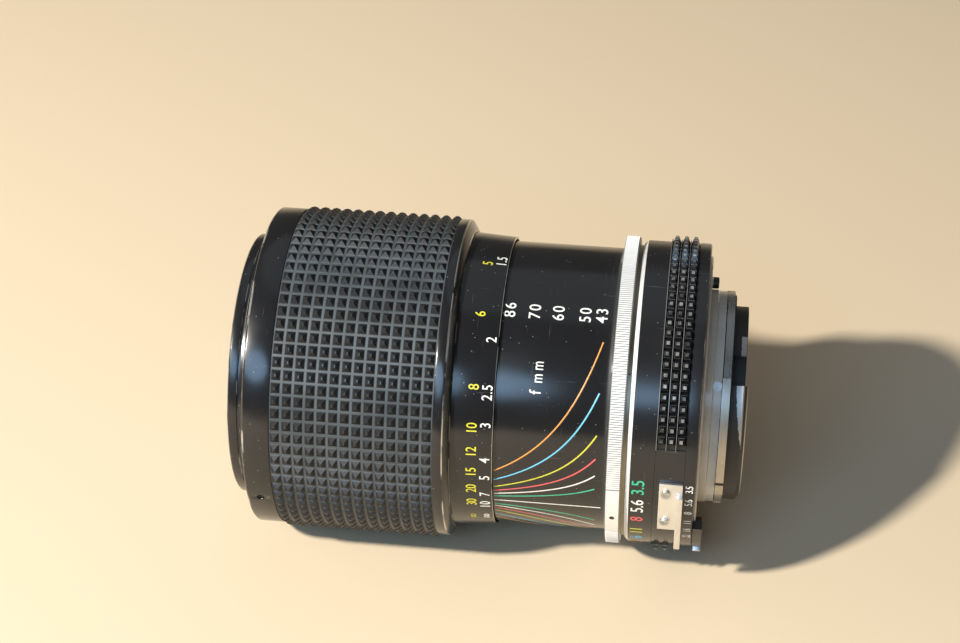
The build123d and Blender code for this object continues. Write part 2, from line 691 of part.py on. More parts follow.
with BuildPart() as front_cell:
    revolve(
        outline(
            (CELL_FRONT, FRONT_GLASS_R),
            (CELL_REAR, FRONT_GLASS_R),
            (CELL_REAR, CELL_R - 1.4),
            (CELL_REAR - 4.0, CELL_R),
            (CELL_FRONT, CELL_R),
        ),
        axis=Axis.X,
    )
finish(front_cell, "front_cell")

with BuildPart() as name_ring:
    revolve(
        outline(
            (CELL_FRONT, NAME_RING_BORE_R),
            (CELL_FRONT, NAME_RING_R),
            (CELL_FRONT - 0.9, NAME_RING_R),
            (CELL_FRONT - 0.4, NAME_RING_BORE_R),
        ),
        axis=Axis.X,
    )
finish(name_ring, "name_ring")

FRONT_GLASS = [
    ("front_element", -90.0, -85.6, FRONT_GLASS_R, 3.0, -1.2),
    ("second_element", -84.2, -81.6, FRONT_GLASS_R, 0.7, -1.9),
    ("third_element", -80.6, -76.6, FRONT_GLASS_R, 1.4, 0.6),
]
for name, front, rear, radius, front_sag, rear_sag in FRONT_GLASS:
    with BuildPart() as element:
        revolve(glass_outline(front, rear, radius, front_sag, rear_sag), axis=Axis.X)
    finish(element, name)

# ---- aperture ring ------------------------------------------------------------------
TOOTH_COLUMNS = [-7.7, -5.78, -3.86]
TOOTH_HALF_PITCH = 0.96
VALLEY_R = 31.45
BARE_SPAN = (-34.5, 60.0)    # start from the index, sweep: no teeth round the fork
SKIRT_BORE_R = FLANGE_R + RUNNING_GAP
TOOTH_ROOT_R = 30.5
SKIRT_FRONT = -3.0           # where the bore widens round the flange

with BuildPart() as aperture_ring:
    revolve(
        outline(
            (APERTURE_FRONT, HOUSING_R + RUNNING_GAP),
            (SKIRT_FRONT, HOUSING_R + RUNNING_GAP),
            (SKIRT_FRONT, SKIRT_BORE_R),
            (APERTURE_REAR, SKIRT_BORE_R),
            (APERTURE_REAR, SKIRT_R - 0.15),
            (APERTURE_REAR - 0.15, SKIRT_R),
            (TOOTH_COLUMNS[2] + TOOTH_HALF_PITCH, SKIRT_R),
            (TOOTH_COLUMNS[2] + TOOTH_HALF_PITCH, APERTURE_R),
            (APERTURE_FRONT + 0.8, APERTURE_R),
            (APERTURE_FRONT, APERTURE_R - 0.9),
        ),
        axis=Axis.X,
    )
    for x in TOOTH_COLUMNS:
        tooth = outline(
            (x - TOOTH_HALF_PITCH, TOOTH_ROOT_R),
            (x + TOOTH_HALF_PITCH, TOOTH_ROOT_R),
            (x + TOOTH_HALF_PITCH, VALLEY_R),
            (x, TOOTH_R),
            (x - TOOTH_HALF_PITCH, VALLEY_R),
            clock=INDEX + BARE_SPAN[0] + BARE_SPAN[1],
        )
        revolve(tooth, axis=Axis.X, revolution_arc=360 - BARE_SPAN[1])
finish(aperture_ring, "aperture_ring")

FORK_FRONT = -7.55
FORK_REAR = -2.95
FORK_SPAN = (-21.3, 24.4)    # start from the index, sweep
FORK_R = 32.0
EAR_FRONT = -4.05
EAR_SPAN = (-16.5, 34.5)
EAR_R = 33.0
FORK_SCREW_X = -6.2
FORK_SCREWS = [-16.9, -2.5]
FORK_SHANK_R = 0.5
FORK_HEAD_R = 0.95
FORK_HEAD_TOP = 32.47
with BuildPart() as meter_fork:
    plate = band(FORK_FRONT, FORK_REAR, SKIRT_R, FORK_R, clock=INDEX + FORK_SPAN[0])
    revolve(plate, axis=Axis.X, revolution_arc=FORK_SPAN[1])
    ear = band(EAR_FRONT, FORK_REAR + 0.1, SKIRT_R + 0.15, EAR_R, clock=INDEX + EAR_SPAN[0])
    revolve(ear, axis=Axis.X, revolution_arc=EAR_SPAN[1])
    for turn in FORK_SCREWS:
        with BuildSketch(radial_plane(FORK_SCREW_X, INDEX + turn, SKIRT_R - 0.5)):
            Circle(FORK_SHANK_R)
        extrude(amount=3, mode=Mode.SUBTRACT)
finish(meter_fork, "meter_fork")

with BuildPart() as fork_screws:
    for turn in FORK_SCREWS:
        with BuildSketch(radial_plane(FORK_SCREW_X, INDEX + turn, SKIRT_R)):
            Circle(FORK_SHANK_R)
        extrude(amount=FORK_R + 0.02 - SKIRT_R)
        with BuildSketch(radial_plane(FORK_SCREW_X, INDEX + turn, FORK_R + 0.02)):
            Circle(FORK_HEAD_R)
        extrude(amount=FORK_HEAD_TOP - FORK_R - 0.02)
        with BuildSketch(radial_plane(FORK_SCREW_X, INDEX + turn, FORK_HEAD_TOP)):
            Rectangle(1.1, 0.26)
            Rectangle(0.26, 1.1)
        extrude(amount=-0.25, mode=Mode.SUBTRACT)
finish(fork_screws, "fork_screws")

COUPLING_REAR = 1.4
RIDGE_SPAN = (4.0, 58.0)     # start from the index, sweep
LUG_TAB_SPAN = (33.0, 7.0)
LUG_TAB_R = 32.3
with BuildPart() as coupling_ridge:
    ridge = band(APERTURE_REAR, COUPLING_REAR, SKIRT_BORE_R + 0.1, SKIRT_R - 0.1, clock=INDEX + RIDGE_SPAN[0])
    revolve(ridge, axis=Axis.X, revolution_arc=RIDGE_SPAN[1])
finish(coupling_ridge, "coupling_ridge")

with BuildPart() as coupling_lug:
    tab = band(-0.2, COUPLING_REAR, SKIRT_R - 0.1, LUG_TAB_R, clock=INDEX + LUG_TAB_SPAN[0])
    revolve(tab, axis=Axis.X, revolution_arc=LUG_TAB_SPAN[1])
finish(coupling_lug, "coupling_lug")
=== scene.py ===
from math import cos, exp, pi, radians, sin

import bmesh
import bpy
from mathutils import Matrix, Vector


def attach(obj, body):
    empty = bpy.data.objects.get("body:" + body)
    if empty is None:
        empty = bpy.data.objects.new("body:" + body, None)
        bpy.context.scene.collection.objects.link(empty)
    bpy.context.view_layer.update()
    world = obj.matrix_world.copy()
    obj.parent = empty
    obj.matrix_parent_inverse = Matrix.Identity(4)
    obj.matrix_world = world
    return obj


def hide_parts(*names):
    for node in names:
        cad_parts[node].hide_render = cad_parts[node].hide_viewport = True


# A one-touch zoom lens lying on its side.  The optical axis is X, with the mount at
# the origin and the front glass towards -X.  Sizes are in millimetres until a mesh
# is made; clock angles are degrees about +X, counted from +Y towards +Z.
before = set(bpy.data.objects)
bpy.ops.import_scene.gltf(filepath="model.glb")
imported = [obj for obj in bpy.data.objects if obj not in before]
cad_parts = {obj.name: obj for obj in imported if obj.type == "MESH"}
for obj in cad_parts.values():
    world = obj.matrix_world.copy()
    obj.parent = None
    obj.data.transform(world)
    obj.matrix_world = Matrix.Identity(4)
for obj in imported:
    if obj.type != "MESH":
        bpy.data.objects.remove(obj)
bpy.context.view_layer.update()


# ---- Mount flange and bayonet tube ----------------------------------------------
# The flange, register and three bayonet lugs are one turned and milled brass piece
# with bright chromium plate.  Years of mounting have scuffed it round the axis.
MM = 0.001


def new_finish(name, colour, metallic, roughness):
    """A finish whose shader has these plain values, ready for its detail."""
    finish = bpy.data.materials.new(name)
    finish.use_nodes = True
    shader = finish.node_tree.nodes["Principled BSDF"]
    shader.inputs["Base Color"].default_value = (*colour, 1)
    shader.inputs["Metallic"].default_value = metallic
    shader.inputs["Roughness"].default_value = roughness
    return finish


def step(finish, kind, *inputs, **settings):
    """Add a node; its inputs are values, sockets to join, or None to leave alone."""
    made = finish.node_tree.nodes.new("ShaderNode" + kind)
    for key, value in settings.items():
        setattr(made, key, value)
    for socket, value in zip(made.inputs, inputs):
        if isinstance(value, bpy.types.NodeSocket):
            finish.node_tree.links.new(value, socket)
        elif value is not None:
            socket.default_value = value
    return made.outputs[0]


def sum_of(finish, operation, *values):
    """One arithmetic step."""
    return step(finish, "Math", *values, operation=operation)


def mapped(finish, value, low, high, to_low=0.0, to_high=1.0):
    """Stretch a range of a value to another range, clamped at both ends."""
    return step(finish, "MapRange", value, low, high, to_low, to_high)


def place_on(finish, scale=(1, 1, 1), turn=(0, 0, 0)):
    """Object coordinates in millimetres, stretched and turned."""
    place = finish.node_tree.nodes.new("ShaderNodeTexCoord").outputs["Object"]
    stretch = tuple(1000 * s for s in scale)
    return step(finish, "Mapping", place, (0, 0, 0), tuple(map(radians, turn)), stretch)


def grain(finish, scale, size=1.0, detail=3.0, turn=(0, 0, 0)):
    """Noise from 0 to 1 that follows a stretch of the surface."""
    return step(finish, "TexNoise", place_on(finish, scale, turn), None, size, detail)


def along(finish):
    """Distance along the axis and distance from it, in millimetres."""
    parts = finish.node_tree.nodes.new("ShaderNodeSeparateXYZ")
    finish.node_tree.links.new(place_on(finish), parts.inputs[0])
    square = [sum_of(finish, "MULTIPLY", parts.outputs[n], parts.outputs[n]) for n in (1, 2)]
    return parts.outputs[0], sum_of(finish, "SQRT", sum_of(finish, "ADD", *square)), parts


def blend_colours(finish, share, first, second):
    """Mix two colours or colour sockets by a share from 0 to 1."""
    made = finish.node_tree.nodes.new("ShaderNodeMix")
    made.data_type = "RGBA"
    for socket, value in ((made.inputs[0], share), (made.inputs[6], first), (made.inputs[7], second)):
        if isinstance(value, bpy.types.NodeSocket):
            finish.node_tree.links.new(value, socket)
        else:
            socket.default_value = (*value, 1) if isinstance(value, tuple) else value
    return made.outputs[2]


def join(finish, **sockets):
    """Link sockets to the finish's shader, by the socket's name."""
    shader = finish.node_tree.nodes["Principled BSDF"]
    for name, value in sockets.items():
        finish.node_tree.links.new(value, shader.inputs[name.replace("_", " ")])


def lay_over(finish, share, colour, metal=True, rougher=0.0):
    """Cover part of a finish with another colour, as bare metal or as plain colour: a dark groove, painted
    shade or a painted highlight.
    """
    inputs = finish.node_tree.nodes["Principled BSDF"].inputs
    below = inputs["Base Color"].links[0].from_socket
    join(finish, Base_Color=blend_colours(finish, share, below, colour))
    if metal:
        already = [link.from_socket for link in inputs["Metallic"].links] or [0.0]
        join(finish, Metallic=sum_of(finish, "MAXIMUM", already[0], share))
    if rougher:
        rough = inputs["Roughness"].links[0].from_socket
        more = sum_of(finish, "MULTIPLY", share, rougher)
        join(finish, Roughness=sum_of(finish, "ADD", rough, more))


def bump(finish, height, depth, strength=1.0):
    """Relief from a height socket, in millimetres of depth."""
    made = finish.node_tree.nodes.new("ShaderNodeBump")
    made.inputs["Strength"].default_value = strength
    made.inputs["Distance"].default_value = depth * MM
    finish.node_tree.links.new(height, made.inputs["Height"])
    join(finish, Normal=made.outputs[0])


def worn_metal(name, colour, roughness, brushed=0.5, grime=0.4, depth=0.004):
    """Bare or plated metal turned round the axis: turning marks, scuffs and grime."""
    finish = new_finish(name, colour, 1.0, roughness)
    lines = grain(finish, (9, 0.25, 0.25), detail=4)
    scuffs = mapped(finish, grain(finish, (0.5, 0.6, 0.6), 1.3, 6, (20, 35, 0)), 0.52, 0.72)
    dirt = mapped(finish, grain(finish, (0.12, 0.16, 0.16), detail=5), 0.5, 0.75, 0, grime)
    dull = tuple(0.42 * c for c in colour)
    shade = blend_colours(finish, mapped(finish, lines, 0.3, 0.7, 0, 0.18 * brushed), colour, dull)
    rough = sum_of(finish, "ADD", mapped(finish, lines, 0.3, 0.7, -0.07 * brushed, 0.12 * brushed), roughness)
    rough = sum_of(finish, "ADD", rough, sum_of(finish, "MULTIPLY", scuffs, 0.14))
    rough = sum_of(finish, "ADD", rough, sum_of(finish, "MULTIPLY", dirt, 0.25))
    join(finish, Base_Color=blend_colours(finish, dirt, shade, dull), Roughness=rough)
    bump(finish, lines, depth, 0.6 * brushed)
    return finish


def coat(node, finish):
    """Give a fixed part its finish."""
    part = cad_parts[node]
    part.data.materials.clear()
    part.data.materials.append(finish)


LUG_FRONT = 3.4
LUG_FOOT_R = 22.4
GROOVE = (21.5, 21.7)    # radii of the fine dark groove where the lugs start
CHROME = worn_metal("chrome_plate", (0.66, 0.64, 0.60), 0.18, brushed=0.7, grime=0.25, depth=0.0006)
x, radius, _ = along(CHROME)
behind = mapped(CHROME, x, LUG_FRONT - 0.02, LUG_FRONT + 0.02)
on_lug = sum_of(CHROME, "MULTIPLY", behind, mapped(CHROME, radius, LUG_FOOT_R, LUG_FOOT_R + 0.1))
on_tube = sum_of(CHROME, "MULTIPLY", behind, mapped(CHROME, radius, LUG_FOOT_R, LUG_FOOT_R + 0.1, 0.6, 0))
lay_over(CHROME, on_lug, (0.52, 0.48, 0.42), rougher=0.22)
lay_over(CHROME, on_tube, (0.30, 0.30, 0.31), rougher=0.15)
groove = mapped(CHROME, radius, GROOVE[1] - 0.08, GROOVE[1], 1, 0)
groove = sum_of(CHROME, "MULTIPLY", groove, mapped(CHROME, radius, GROOVE[0], GROOVE[0] + 0.02))
lay_over(CHROME, groove, (0.02, 0.02, 0.02), metal=False)
coat("mount_plate", CHROME)
SCREW_STEEL = worn_metal("screw_steel", (0.62, 0.61, 0.59), 0.3, grime=0.8)
coat("mount_screws", SCREW_STEEL)
coat("tube_screws", SCREW_STEEL)


# ---- Index post ------------------------------------------------------------------
# A short pin of blackened steel pressed into the flange, worn bright round its foot.
def enamel(name, colour, roughness, worn=(), dust=0.5, metal=(0.70, 0.68, 0.64)):
    """Black finish over light alloy: fine scratches, dust specks, and bare metal
    along the worn edges, each given as (x, radius or None, half width, share)."""
    finish = new_finish(name, colour, 0.0, roughness)
    finish.node_tree.nodes["Principled BSDF"].inputs["IOR"].default_value = 1.6
    x, radius = along(finish)[:2]
    haze = grain(finish, (0.05, 0.08, 0.08), detail=4)
    marks = [
        mapped(finish, grain(finish, (0.09, 2.6, 2.6), detail=2, turn=(31, 24, 0)), 0.715, 0.76),
        mapped(finish, grain(finish, (3.1, 0.11, 0.11), detail=2, turn=(0, 9, 14)), 0.72, 0.77),
    ]
    marks = sum_of(finish, "MAXIMUM", *marks)
    specks = finish.node_tree.nodes.new("ShaderNodeTexVoronoi")
    specks.inputs["Scale"].default_value = 0.62
    finish.node_tree.links.new(place_on(finish), specks.inputs["Vector"])
    specks = mapped(finish, specks.outputs["Distance"], 0.05, 0.075, dust, 0)
    light = sum_of(finish, "MAXIMUM", specks, sum_of(finish, "MULTIPLY", marks, 0.10))
    shade = blend_colours(finish, light, colour, (0.34, 0.35, 0.35))
    bare = 0.0
    for where, edge, half, share in worn:
        apart = sum_of(finish, "ABSOLUTE", sum_of(finish, "SUBTRACT", x, where))
        if edge:
            out = sum_of(finish, "ABSOLUTE", sum_of(finish, "SUBTRACT", radius, edge))
            apart = sum_of(finish, "MAXIMUM", apart, out)
        near = mapped(finish, apart, 0.4 * half, half, 1, 0)
        broken = grain(finish, (0.35, 0.14, 0.14), detail=5)
        broken = mapped(finish, broken, 0.64 - 0.3 * share, 0.76 - 0.3 * share)
        bare = sum_of(finish, "MAXIMUM", bare, sum_of(finish, "MULTIPLY", near, broken))
    rough = sum_of(finish, "ADD", mapped(finish, haze, 0.35, 0.7, 0, 0.10), roughness)
    rough = sum_of(finish, "ADD", rough, sum_of(finish, "MULTIPLY", light, 0.3))
    if worn:
        shade = blend_colours(finish, bare, shade, metal)
        join(finish, Metallic=bare)
    join(finish, Base_Color=shade, Roughness=rough)
    bump(finish, grain(finish, (2.2, 2.2, 2.2), detail=4), 0.006, 0.25)
    return finish


POST_BLACK = enamel("post_black", (0.02, 0.02, 0.021), 0.35, [(0.1, None, 0.3, 1.6)])
coat("index_post", POST_BLACK)

# ---- Rear baffle -----------------------------------------------------------------
# A black-painted alloy tube behind the lugs, low on top and full height below, that
# keeps stray light out.  Its outer face is rubbed to bare metal in a long wedge.
MATTE = (0.012, 0.012, 0.013)
BAFFLE_REAR = 8.6
BAFFLE_R = 21.0
WEDGE = (136, 181)       # clock angles between which the wedge runs out
WEDGE_START = 6.2        # x where it begins, and how far back it runs from there
WEDGE_RUN = 2.3
PATCH_START = 6.7        # x and radii of the bare patch inside the step
PATCH_R = (19.2, 20.1)
baffle_black = enamel("baffle_black", MATTE, 0.5, [(BAFFLE_REAR, BAFFLE_R, 0.3, 0.7)], dust=0.3)
x, radius, parts = along(baffle_black)
clock = sum_of(baffle_black, "ARCTAN2", parts.outputs[2], parts.outputs[1])
clock = sum_of(baffle_black, "FLOORED_MODULO", clock, 2 * pi)
ragged = mapped(baffle_black, grain(baffle_black, (1.6, 1.6, 1.6), detail=5), 0, 1, -0.25, 0.25)
edge_x = sum_of(baffle_black, "ADD", x, ragged)
down = mapped(baffle_black, clock, *map(radians, WEDGE))
wedge_start = sum_of(
    baffle_black, "MULTIPLY_ADD", sum_of(baffle_black, "POWER", down, 1.5), WEDGE_RUN, WEDGE_START,
)
wedge = mapped(baffle_black, sum_of(baffle_black, "SUBTRACT", edge_x, wedge_start), 0, 0.1)
wedge = sum_of(baffle_black, "MULTIPLY", wedge, mapped(baffle_black, down, 0, 0.005))
outside = mapped(baffle_black, radius, BAFFLE_R - 0.4, BAFFLE_R - 0.2)
wedge = sum_of(baffle_black, "MULTIPLY", wedge, outside)
patch = mapped(baffle_black, sum_of(baffle_black, "SUBTRACT", edge_x, PATCH_START), 0, 0.1)
patch = sum_of(baffle_black, "MULTIPLY", patch, mapped(baffle_black, radius, PATCH_R[0], PATCH_R[0] + 0.1))
within = mapped(baffle_black, radius, PATCH_R[1] - 0.1, PATCH_R[1], 1, 0)
patch = sum_of(baffle_black, "MULTIPLY", patch, within)
for share in (wedge, patch):
    lay_over(baffle_black, share, (0.50, 0.50, 0.50), rougher=-0.1)
coat("rear_baffle", baffle_black)

# ---- Rear housing and relay lens -------------------------------------------------
# The housing is a black anodised casting that carries the mount.  Inside it sit four
# coated glasses in a matt black cell, held by a threaded retainer.
THIN_RING = (-15.2, -14.3)   # the step that shows beside the knurled ring, left bare
THIN_RING_R = 30.1
housing_black = enamel("housing_black", (0.02, 0.019, 0.018), 0.32)
x, radius, _ = along(housing_black)
bare = mapped(housing_black, x, THIN_RING[0] - 0.1, THIN_RING[0])
for limit in (
    mapped(housing_black, x, THIN_RING[1], THIN_RING[1] + 0.1, 1, 0),
    mapped(housing_black, radius, THIN_RING_R - 1.1, THIN_RING_R - 0.9),
):
    bare = sum_of(housing_black, "MULTIPLY", bare, limit)
lay_over(housing_black, bare, (0.26, 0.235, 0.18))
coat("rear_housing", housing_black)


def flat_black(name, depth=0.02):
    """Anti-reflection black: matt, finely grained, with a few rubbed spots."""
    finish = new_finish(name, MATTE, 0.0, 0.62)
    fine = grain(finish, (5, 5, 5), detail=5)
    rubbed = mapped(finish, grain(finish, (0.4, 0.4, 0.4), detail=6), 0.62, 0.74, 0, 0.5)
    join(
        finish,
        Base_Color=blend_colours(finish, rubbed, MATTE, (0.06, 0.06, 0.058)),
        Roughness=mapped(finish, fine, 0.3, 0.7, 0.5, 0.75),
    )
    bump(finish, fine, depth, 0.5)
    return finish


def coated_glass(name, tint, film):
    """Optical glass with a thin coating that colours its reflections, and a little dust."""
    finish = new_finish(name, tint, 0.0, 0.02)
    shader = finish.node_tree.nodes["Principled BSDF"]
    shader.inputs["Transmission Weight"].default_value = 1.0
    shader.inputs["IOR"].default_value = 1.6
    shader.inputs["Thin Film Thickness"].default_value = film
    shader.inputs["Thin Film IOR"].default_value = 1.38
    dust = mapped(finish, grain(finish, (0.8, 0.8, 0.8), detail=8), 0.6, 0.8, 0.015, 0.16)
    join(finish, Roughness=dust)
    return finish


INNER_BLACK = flat_black("inner_black")
RELAY_GLASS = coated_glass("relay_glass", (0.96, 0.98, 0.94), 230.0)
for node in ("relay_cell", "relay_retainer"):
    coat(node, INNER_BLACK)
for node in ("relay_element_1", "relay_element_2", "relay_element_3", "rear_element"):
    coat(node, RELAY_GLASS)

# ---- Click stop ------------------------------------------------------------------
# A hardened steel ball on a coil spring in the housing, which holds the aperture
# ring at each stop.
BALL_STEEL = worn_metal("ball_steel", (0.70, 0.70, 0.70), 0.15, brushed=0.2, grime=0.2)
coat("click_ball", BALL_STEEL)
coat("click_spring", SCREW_STEEL)

# ---- Iris ------------------------------------------------------------------------
# Six blackened steel blades swing between a cover and the back wall of their
# housing.  Their pins run in the slots of a drive ring, and the lever behind turns it.
BLADE_STEEL = worn_metal("blade_steel", (0.10, 0.105, 0.115), 0.34, brushed=0.3, grime=0.3)
coat("iris_housing", INNER_BLACK)
coat("iris_cover", INNER_BLACK)
coat("iris_drive_ring", BLADE_STEEL)
coat("stop_down_lever", SCREW_STEEL)
for number in range(6):
    coat(f"iris_blade_{number + 1}", BLADE_STEEL)

# ---- Guide tube, carriage and variator -------------------------------------------
# The slotted brass guide tube stands in the barrel.  The alloy carriage slides over
# it on three brass rollers, and the variator's cell slides inside it on three pins.
BRASS = worn_metal("brass", (0.72, 0.53, 0.24), 0.3, brushed=0.8, grime=0.5)
CARRIAGE_ALLOY = worn_metal("carriage_alloy", (0.32, 0.32, 0.32), 0.36, brushed=0.7)
VARIATOR_GLASS = coated_glass("variator_glass", (0.97, 0.95, 0.99), 180.0)
for node in ("guide_tube", "guide_rollers", "variator_pins", "bearing_retainer"):
    coat(node, BRASS)
coat("carriage_tube", CARRIAGE_ALLOY)
coat("variator_cell", INNER_BLACK)
coat("variator_retainer", INNER_BLACK)
coat("variator_element_1", VARIATOR_GLASS)
coat("variator_element_2", VARIATOR_GLASS)

# ---- Depth of field barrel -------------------------------------------------------
# A turned alloy tube in gloss black, over which the sleeve slides.  It is the fixed
# surface that the focal lengths, the curves and the index line are painted on.
SCALE_R = 29.2
BARREL_FRONT = -58.5
RING_FRONT = -18.1
GLOSS_BLACK = (0.010, 0.0105, 0.012)
ROUND = 240              # faces round a large ring


def turned(name, profile, rounding=0.0, steps=ROUND):
    """A ring turned about the axis from a closed profile of (x, radius) points."""
    form = bmesh.new()
    corners = [form.verts.new((x * MM, radius * MM, 0)) for x, radius in profile]
    for first, second in zip(corners, corners[1:] + corners[:1]):
        form.edges.new((first, second))
    if rounding:
        bmesh.ops.bevel(
            form, geom=corners, offset=rounding * MM, offset_type="OFFSET", segments=2,
            profile=0.5, affect="VERTICES", material=-1, clamp_overlap=True,
        )
    bmesh.ops.spin(
        form, geom=form.verts[:] + form.edges[:], cent=(0, 0, 0), axis=(1, 0, 0),
        dvec=(0, 0, 0), angle=2 * pi, steps=steps, use_merge=True,
    )
    return settled(name, form)


def settled(name, form, crease=32.0):
    """Make a finished form an object, its faces outward and its edges crisp."""
    bmesh.ops.remove_doubles(form, verts=form.verts, dist=0.0005 * MM)
    bmesh.ops.recalc_face_normals(form, faces=form.faces)
    for face in form.faces:
        face.smooth = True
    mesh = bpy.data.meshes.new(name)
    form.to_mesh(mesh)
    form.free()
    mesh.set_sharp_from_angle(angle=radians(crease))
    made = bpy.data.objects.new(name, mesh)
    bpy.context.scene.collection.objects.link(made)
    return made


def fit(piece, finish, body, stands_for=()):
    """Finish a piece, put it on its body, and hide the fixed parts it stands for."""
    piece.data.materials.append(finish)
    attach(piece, body)
    if stands_for:
        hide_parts(*stands_for)
    return piece


barrel = turned(
    "scale_barrel",
    [
        (BARREL_FRONT, SCALE_R - 1), (RING_FRONT - 1.2, SCALE_R - 1), (RING_FRONT - 1.2, 26.4),
        (RING_FRONT, 26.4), (RING_FRONT, SCALE_R), (BARREL_FRONT, SCALE_R),
    ],
    0.08,
)
barrel_black = enamel("barrel_black", GLOSS_BLACK, 0.14, [(RING_FRONT - 0.25, None, 0.2, 0.15)])
fit(barrel, barrel_black, "barrel", ["depth_scale_barrel"])

# ---- Focal lengths ---------------------------------------------------------------
# Five zoom settings and the unit, engraved in the barrel and filled with white
# paint.  They read upwards, and the edge of the distance band points at one.
PAINT_LIFT = 0.035       # how far filled paint stands above its surface
GLYPH_WIDTH = 0.92


def laid_round(form, x, clock, radius, taper=0.0):
    """Lay a flat form round the lens, its own x up the clock and its own y forward.
    A taper is the radius gained per millimetre towards the front."""
    for corner in form.verts:
        turn = radians(clock) - corner.co.x / (radius * MM)
        reach = radius * MM + corner.co.z + taper * corner.co.y
        corner.co = (x * MM - corner.co.y, reach * cos(turn), reach * sin(turn))


def glyphs(text, height, width=GLYPH_WIDTH, gap=1.0):
    """Flat engraved characters of this cap height, centred, as a thin solid."""
    line = bpy.data.curves.new("line", "FONT")
    line.body = text
    line.space_character = gap
    line.extrude = 0.5
    line.offset = 0.004
    carrier = bpy.data.objects.new("line", line)
    bpy.context.scene.collection.objects.link(carrier)
    bpy.context.view_layer.update()
    form = bmesh.new()
    form.from_mesh(bpy.data.meshes.new_from_object(carrier))
    bpy.data.objects.remove(carrier)
    size = height * MM / 0.7
    middle = (max(v.co.x for v in form.verts) + min(v.co.x for v in form.verts)) / 2
    bmesh.ops.remove_doubles(form, verts=form.verts, dist=0.0005)
    bmesh.ops.translate(form, verts=form.verts, vec=(-middle, -0.341, 0))
    bmesh.ops.scale(form, verts=form.verts, vec=(size * width, size, PAINT_LIFT * MM * 2))
    return form


def gather(whole, form):
    """Move a form into a larger one."""
    flat = bpy.data.meshes.new("flat")
    form.to_mesh(flat)
    form.free()
    whole.from_mesh(flat)
    bpy.data.meshes.remove(flat)


def numerals(name, marks, height, radius, finish, body, gap=1.0, width=GLYPH_WIDTH, taper=0.0):
    """One painted piece from (text, x, clock) marks round a ring."""
    whole = bmesh.new()
    for text, x, clock in marks:
        form = glyphs(text, height, width, gap)
        laid_round(form, x, clock, radius, taper)
        gather(whole, form)
    return fit(settled(name, whole), finish, body)


def paint(name, colour):
    """Filler paint in an engraved line, a little dusty and worn."""
    finish = new_finish(name, colour, 0.0, 0.45)
    faded = mapped(finish, grain(finish, (1.1, 1.1, 1.1), detail=5), 0.5, 0.75, 0, 0.45)
    shade = blend_colours(finish, faded, colour, tuple(0.45 * c for c in colour))
    join(finish, Base_Color=shade, Roughness=mapped(finish, faded, 0, 1, 0.35, 0.7))
    bump(finish, grain(finish, (6, 6, 6)), 0.01, 0.3)
    return finish


WHITE = paint("white_paint", (0.86, 0.86, 0.82))
SETTINGS_CLOCK = 113.7
SETTINGS = {"86": -39.36, "70": -34.41, "60": -29.74, "50": -24.39, "43": -21.14}
numerals(
    "focal_length_numerals",
    [(text, x, SETTINGS_CLOCK) for text, x in SETTINGS.items()] + [("f", -33.0, 146.0)],
    2.3, SCALE_R, WHITE, "barrel", gap=1.25,
)
numerals(
    "unit_letters", [("m", -32.85, 140.7), ("m", -32.85, 135.8)], 2.3, SCALE_R, WHITE, "barrel", width=0.74,
)

# ---- Depth of field curves and index line ----------------------------------------
# Pairs of coloured lines, one pair to each stop, that open out towards the mount as
# the focal length falls.  The white line between them is the index for both rings.
INDEX = 198.0            # clock angle of the index line
SCALE_START = 0.3
SCALE_LENGTH = 20.4
BAND_REAR = -40.8
LINE_WIDTH = 0.30
STOP_COLOURS = {
    "3.5": paint("green_paint", (0.05, 0.52, 0.30)),
    "5.6": WHITE,
    "8": paint("red_paint", (0.80, 0.12, 0.13)),
    "11": paint("yellow_paint", (0.62, 0.60, 0.05)),
    "16": paint("blue_paint", (0.16, 0.55, 0.78)),
    "22": paint("orange_paint", (0.72, 0.32, 0.08)),
}
STOP_NAMES = {"3.5": "green", "5.6": "white", "8": "red", "11": "yellow", "16": "blue", "22": "orange"}


def drawn_line(points, width, radius):
    """A painted line through (x, clock) points, as a flattened closed strip."""
    line = bpy.data.curves.new("line", "CURVE")
    line.dimensions = "3D"
    line.bevel_depth = width / 2
    line.bevel_resolution = 1
    line.use_fill_caps = True
    path = line.splines.new("POLY")
    path.points.add(len(points) - 1)
    for point, (x, clock) in zip(path.points, points):
        point.co = (-radians(clock) * radius, -x, 0, 1)
    carrier = bpy.data.objects.new("line", line)
    bpy.context.scene.collection.objects.link(carrier)
    bpy.context.view_layer.update()
    form = bmesh.new()
    form.from_mesh(bpy.data.meshes.new_from_object(carrier))
    bpy.data.objects.remove(carrier)
    bmesh.ops.scale(form, verts=form.verts, vec=(MM, MM, PAINT_LIFT * MM * 2 / width))
    laid_round(form, 0, 0, radius)
    return form


def spread(s):
    """Degrees from the index, for each stop number, at a distance behind the band."""
    return 0.78 * exp(0.0645 * s) + 0.42 * (s / SCALE_LENGTH) ** 6


for stop, finish in STOP_COLOURS.items():
    pair = bmesh.new()
    for side in (-1, 1):
        reach = [SCALE_START + (SCALE_LENGTH - SCALE_START) * n / 40 for n in range(41)]
        form = drawn_line(
            [(BAND_REAR + s, INDEX + side * float(stop) * spread(s)) for s in reach], LINE_WIDTH, SCALE_R
        )
        gather(pair, form)
    fit(settled(f"depth_curves_{STOP_NAMES[stop]}", pair), finish, "barrel")
index_line = drawn_line([(BAND_REAR + SCALE_START, INDEX), (RING_FRONT - 1.0, INDEX)], LINE_WIDTH, SCALE_R)
fit(settled("index_line", index_line), WHITE, "barrel")

